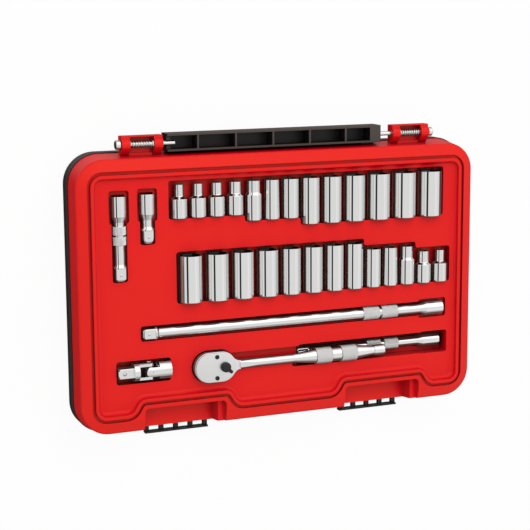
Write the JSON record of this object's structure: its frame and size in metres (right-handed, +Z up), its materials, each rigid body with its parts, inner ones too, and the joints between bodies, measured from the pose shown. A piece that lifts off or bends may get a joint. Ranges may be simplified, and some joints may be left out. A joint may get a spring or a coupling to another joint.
{
  "type": "socket_wrench_set",
  "caption": "Socket wrench set in a red and dark grey case: two rows of deep sockets, ratchet, extensions and universal joint, lying open on its cover.",
  "frame": {"origin": "centre of the cover's flat bottom face, which the case lies on", "axes": "+X along the socket rows to the right, +Y to the hinge bar, +Z up out of the tray"},
  "size_m": [0.3962, 0.2807, 0.0531],
  "materials": {
    "red_plastic": "moulded, semi-gloss",
    "dark_plastic": "moulded, fine grain",
    "black_plastic": "moulded, satin",
    "chrome_steel": "polished",
    "spring_steel": "bright drawn wire",
    "satin_steel": "blasted satin",
    "black_steel": "blackened"
  },
  "bodies": {
    "cover": {"case_cover": "dark_plastic", "latch_pins": "spring_steel"},
    "tray": {"tool_tray": "red_plastic"},
    "hinge_pin_left": {"hinge_pin_left": "spring_steel", "hinge_washer_left": "spring_steel", "hinge_spring_left": "spring_steel"},
    "latch_left": {"latch_left": "black_plastic"},
    "hinge_pin_right": {"hinge_pin_right": "spring_steel", "hinge_washer_right": "spring_steel", "hinge_spring_right": "spring_steel"},
    "latch_right": {"latch_right": "black_plastic"},
    "metric_socket_01": {"metric_socket_01": "chrome_steel"},
    "metric_socket_02": {"metric_socket_02": "chrome_steel"},
    "metric_socket_03": {"metric_socket_03": "chrome_steel"},
    "metric_socket_04": {"metric_socket_04": "chrome_steel"},
    "metric_socket_05": {"metric_socket_05": "chrome_steel"},
    "metric_socket_06": {"metric_socket_06": "chrome_steel"},
    "metric_socket_07": {"metric_socket_07": "chrome_steel"},
    "metric_socket_08": {"metric_socket_08": "chrome_steel"},
    "metric_socket_09": {"metric_socket_09": "chrome_steel"},
    "metric_socket_10": {"metric_socket_10": "chrome_steel"},
    "metric_socket_11": {"metric_socket_11": "chrome_steel"},
    "metric_socket_12": {"metric_socket_12": "chrome_steel"},
    "metric_socket_13": {"metric_socket_13": "chrome_steel"},
    "inch_socket_01": {"inch_socket_01": "chrome_steel"},
    "inch_socket_02": {"inch_socket_02": "chrome_steel"},
    "inch_socket_03": {"inch_socket_03": "chrome_steel"},
    "inch_socket_04": {"inch_socket_04": "chrome_steel"},
    "inch_socket_05": {"inch_socket_05": "chrome_steel"},
    "inch_socket_06": {"inch_socket_06": "chrome_steel"},
    "inch_socket_07": {"inch_socket_07": "chrome_steel"},
    "inch_socket_08": {"inch_socket_08": "chrome_steel"},
    "inch_socket_09": {"inch_socket_09": "chrome_steel"},
    "inch_socket_10": {"inch_socket_10": "chrome_steel"},
    "inch_socket_11": {"inch_socket_11": "chrome_steel"},
    "inch_socket_12": {"inch_socket_12": "chrome_steel"},
    "inch_socket_13": {"inch_socket_13": "chrome_steel"},
    "ratchet": {"ratchet_body": "chrome_steel", "ratchet_plate": "satin_steel", "ratchet_screws": "black_steel", "pawl_spring": "spring_steel"},
    "drive": {"drive_gear": "chrome_steel"},
    "lever": {"reversing_lever": "black_plastic", "pawl": "black_steel"},
    "extension_long": {"extension_long": "chrome_steel"},
    "extension_middle": {"extension_middle": "chrome_steel"},
    "extension_small": {"extension_small": "chrome_steel"},
    "extension_stub": {"extension_stub": "chrome_steel"},
    "joint_socket": {"joint_socket_yoke": "chrome_steel"},
    "joint_cross": {"joint_block": "black_steel", "joint_pins": "spring_steel"},
    "joint_drive": {"joint_drive_yoke": "chrome_steel"},
    "ball_long": {"detent_ball_long": "spring_steel"},
    "ball_middle": {"detent_ball_middle": "spring_steel"},
    "ball_small": {"detent_ball_small": "spring_steel"},
    "ball_stub": {"detent_ball_stub": "spring_steel"},
    "ball_ratchet": {"detent_ball_ratchet": "spring_steel"},
    "ball_joint": {"detent_ball_joint": "spring_steel"}
  },
  "joints": [
    {"name": "tray_hinge", "type": "hinge", "parent": "cover", "child": "tray", "pos_m": [0, 0.1359, 0.0335], "axis": [-1, 0, 0], "range_deg": [0, 100]},
    {"name": "pin_pull_left", "type": "slide", "parent": "tray", "child": "hinge_pin_left", "axis": [-1, 0, 0], "range_m": [0, 0.008], "stiffness_N_per_m": 300, "deforming": ["hinge_spring_left"]},
    {"name": "latch_swing_left", "type": "hinge", "parent": "cover", "child": "latch_left", "pos_m": [-0.098, -0.1262, 0.0142], "axis": [-1, 0, 0], "range_deg": [0, 90]},
    {"name": "pin_pull_right", "type": "slide", "parent": "tray", "child": "hinge_pin_right", "axis": [1, 0, 0], "range_m": [0, 0.008], "stiffness_N_per_m": 300, "deforming": ["hinge_spring_right"]},
    {"name": "latch_swing_right", "type": "hinge", "parent": "cover", "child": "latch_right", "pos_m": [0.101, -0.1262, 0.0142], "axis": [-1, 0, 0], "range_deg": [0, 90]},
    {"name": "metric_socket_01_lift", "type": "slide", "parent": "tray", "child": "metric_socket_01", "axis": [0, 0, 1], "range_m": [0, 0.065]},
    {"name": "metric_socket_02_lift", "type": "slide", "parent": "tray", "child": "metric_socket_02", "axis": [0, 0, 1], "range_m": [0, 0.065]},
    {"name": "metric_socket_03_lift", "type": "slide", "parent": "tray", "child": "metric_socket_03", "axis": [0, 0, 1], "range_m": [0, 0.065]},
    {"name": "metric_socket_04_lift", "type": "slide", "parent": "tray", "child": "metric_socket_04", "axis": [0, 0, 1], "range_m": [0, 0.065]},
    {"name": "metric_socket_05_lift", "type": "slide", "parent": "tray", "child": "metric_socket_05", "axis": [0, 0, 1], "range_m": [0, 0.065]},
    {"name": "metric_socket_06_lift", "type": "slide", "parent": "tray", "child": "metric_socket_06", "axis": [0, 0, 1], "range_m": [0, 0.065]},
    {"name": "metric_socket_07_lift", "type": "slide", "parent": "tray", "child": "metric_socket_07", "axis": [0, 0, 1], "range_m": [0, 0.065]},
    {"name": "metric_socket_08_lift", "type": "slide", "parent": "tray", "child": "metric_socket_08", "axis": [0, 0, 1], "range_m": [0, 0.065]},
    {"name": "metric_socket_09_lift", "type": "slide", "parent": "tray", "child": "metric_socket_09", "axis": [0, 0, 1], "range_m": [0, 0.065]},
    {"name": "metric_socket_10_lift", "type": "slide", "parent": "tray", "child": "metric_socket_10", "axis": [0, 0, 1], "range_m": [0, 0.065]},
    {"name": "metric_socket_11_lift", "type": "slide", "parent": "tray", "child": "metric_socket_11", "axis": [0, 0, 1], "range_m": [0, 0.065]},
    {"name": "metric_socket_12_lift", "type": "slide", "parent": "tray", "child": "metric_socket_12", "axis": [0, 0, 1], "range_m": [0, 0.065]},
    {"name": "metric_socket_13_lift", "type": "slide", "parent": "tray", "child": "metric_socket_13", "axis": [0, 0, 1], "range_m": [0, 0.065]},
    {"name": "inch_socket_01_lift", "type": "slide", "parent": "tray", "child": "inch_socket_01", "axis": [0, 0, 1], "range_m": [0, 0.065]},
    {"name": "inch_socket_02_lift", "type": "slide", "parent": "tray", "child": "inch_socket_02", "axis": [0, 0, 1], "range_m": [0, 0.065]},
    {"name": "inch_socket_03_lift", "type": "slide", "parent": "tray", "child": "inch_socket_03", "axis": [0, 0, 1], "range_m": [0, 0.065]},
    {"name": "inch_socket_04_lift", "type": "slide", "parent": "tray", "child": "inch_socket_04", "axis": [0, 0, 1], "range_m": [0, 0.065]},
    {"name": "inch_socket_05_lift", "type": "slide", "parent": "tray", "child": "inch_socket_05", "axis": [0, 0, 1], "range_m": [0, 0.065]},
    {"name": "inch_socket_06_lift", "type": "slide", "parent": "tray", "child": "inch_socket_06", "axis": [0, 0, 1], "range_m": [0, 0.065]},
    {"name": "inch_socket_07_lift", "type": "slide", "parent": "tray", "child": "inch_socket_07", "axis": [0, 0, 1], "range_m": [0, 0.065]},
    {"name": "inch_socket_08_lift", "type": "slide", "parent": "tray", "child": "inch_socket_08", "axis": [0, 0, 1], "range_m": [0, 0.065]},
    {"name": "inch_socket_09_lift", "type": "slide", "parent": "tray", "child": "inch_socket_09", "axis": [0, 0, 1], "range_m": [0, 0.065]},
    {"name": "inch_socket_10_lift", "type": "slide", "parent": "tray", "child": "inch_socket_10", "axis": [0, 0, 1], "range_m": [0, 0.065]},
    {"name": "inch_socket_11_lift", "type": "slide", "parent": "tray", "child": "inch_socket_11", "axis": [0, 0, 1], "range_m": [0, 0.065]},
    {"name": "inch_socket_12_lift", "type": "slide", "parent": "tray", "child": "inch_socket_12", "axis": [0, 0, 1], "range_m": [0, 0.065]},
    {"name": "inch_socket_13_lift", "type": "slide", "parent": "tray", "child": "inch_socket_13", "axis": [0, 0, 1], "range_m": [0, 0.065]},
    {"name": "ratchet_lift", "type": "slide", "parent": "tray", "child": "ratchet", "axis": [0, 0, 1], "range_m": [0, 0.065]},
    {"name": "drive_turn", "type": "hinge", "parent": "ratchet", "child": "drive", "pos_m": [-0.0766, -0.071, 0.043], "axis": [0, 0, 1], "continuous": true},
    {"name": "reverse_lever", "type": "hinge", "parent": "ratchet", "child": "lever", "pos_m": [-0.0617, -0.071, 0.043], "axis": [0, 0, 1], "range_deg": [0, 84]},
    {"name": "extension_long_lift", "type": "slide", "parent": "tray", "child": "extension_long", "axis": [0, 0, 1], "range_m": [0, 0.065]},
    {"name": "extension_middle_lift", "type": "slide", "parent": "tray", "child": "extension_middle", "axis": [0, 0, 1], "range_m": [0, 0.065]},
    {"name": "extension_small_lift", "type": "slide", "parent": "tray", "child": "extension_small", "axis": [0, 0, 1], "range_m": [0, 0.065]},
    {"name": "extension_stub_lift", "type": "slide", "parent": "tray", "child": "extension_stub", "axis": [0, 0, 1], "range_m": [0, 0.065]},
    {"name": "joint_lift", "type": "slide", "parent": "tray", "child": "joint_socket", "axis": [0, 0, 1], "range_m": [0, 0.065]},
    {"name": "joint_swing", "type": "hinge", "parent": "joint_socket", "child": "joint_cross", "pos_m": [-0.1324, -0.0696, 0.04], "axis": [0, 0, 1], "range_deg": [-8, 8]},
    {"name": "joint_tilt", "type": "hinge", "parent": "joint_cross", "child": "joint_drive", "pos_m": [-0.1324, -0.0696, 0.04], "axis": [0, 1, 0], "range_deg": [0, 35]},
    {"name": "detent_long", "type": "slide", "parent": "extension_long", "child": "ball_long", "axis": [0, 0, -1], "range_m": [0, 0.0005], "stiffness_N_per_m": 400},
    {"name": "detent_middle", "type": "slide", "parent": "extension_middle", "child": "ball_middle", "axis": [0, 0, -1], "range_m": [0, 0.0005], "stiffness_N_per_m": 400},
    {"name": "detent_small", "type": "slide", "parent": "extension_small", "child": "ball_small", "axis": [0, 0, -1], "range_m": [0, 0.0005], "stiffness_N_per_m": 400},
    {"name": "detent_stub", "type": "slide", "parent": "extension_stub", "child": "ball_stub", "axis": [0, 0, -1], "range_m": [0, 0.0005], "stiffness_N_per_m": 400},
    {"name": "detent_ratchet", "type": "slide", "parent": "drive", "child": "ball_ratchet", "axis": [-1, 0, 0], "range_m": [0, 0.0005], "stiffness_N_per_m": 400},
    {"name": "detent_joint", "type": "slide", "parent": "joint_drive", "child": "ball_joint", "axis": [0, 0, -1], "range_m": [0, 0.0005], "stiffness_N_per_m": 400}
  ],
  "couplings": [
    {"joint": "extension_middle_lift", "follows": "ratchet_lift", "ratio": 1}
  ]
}
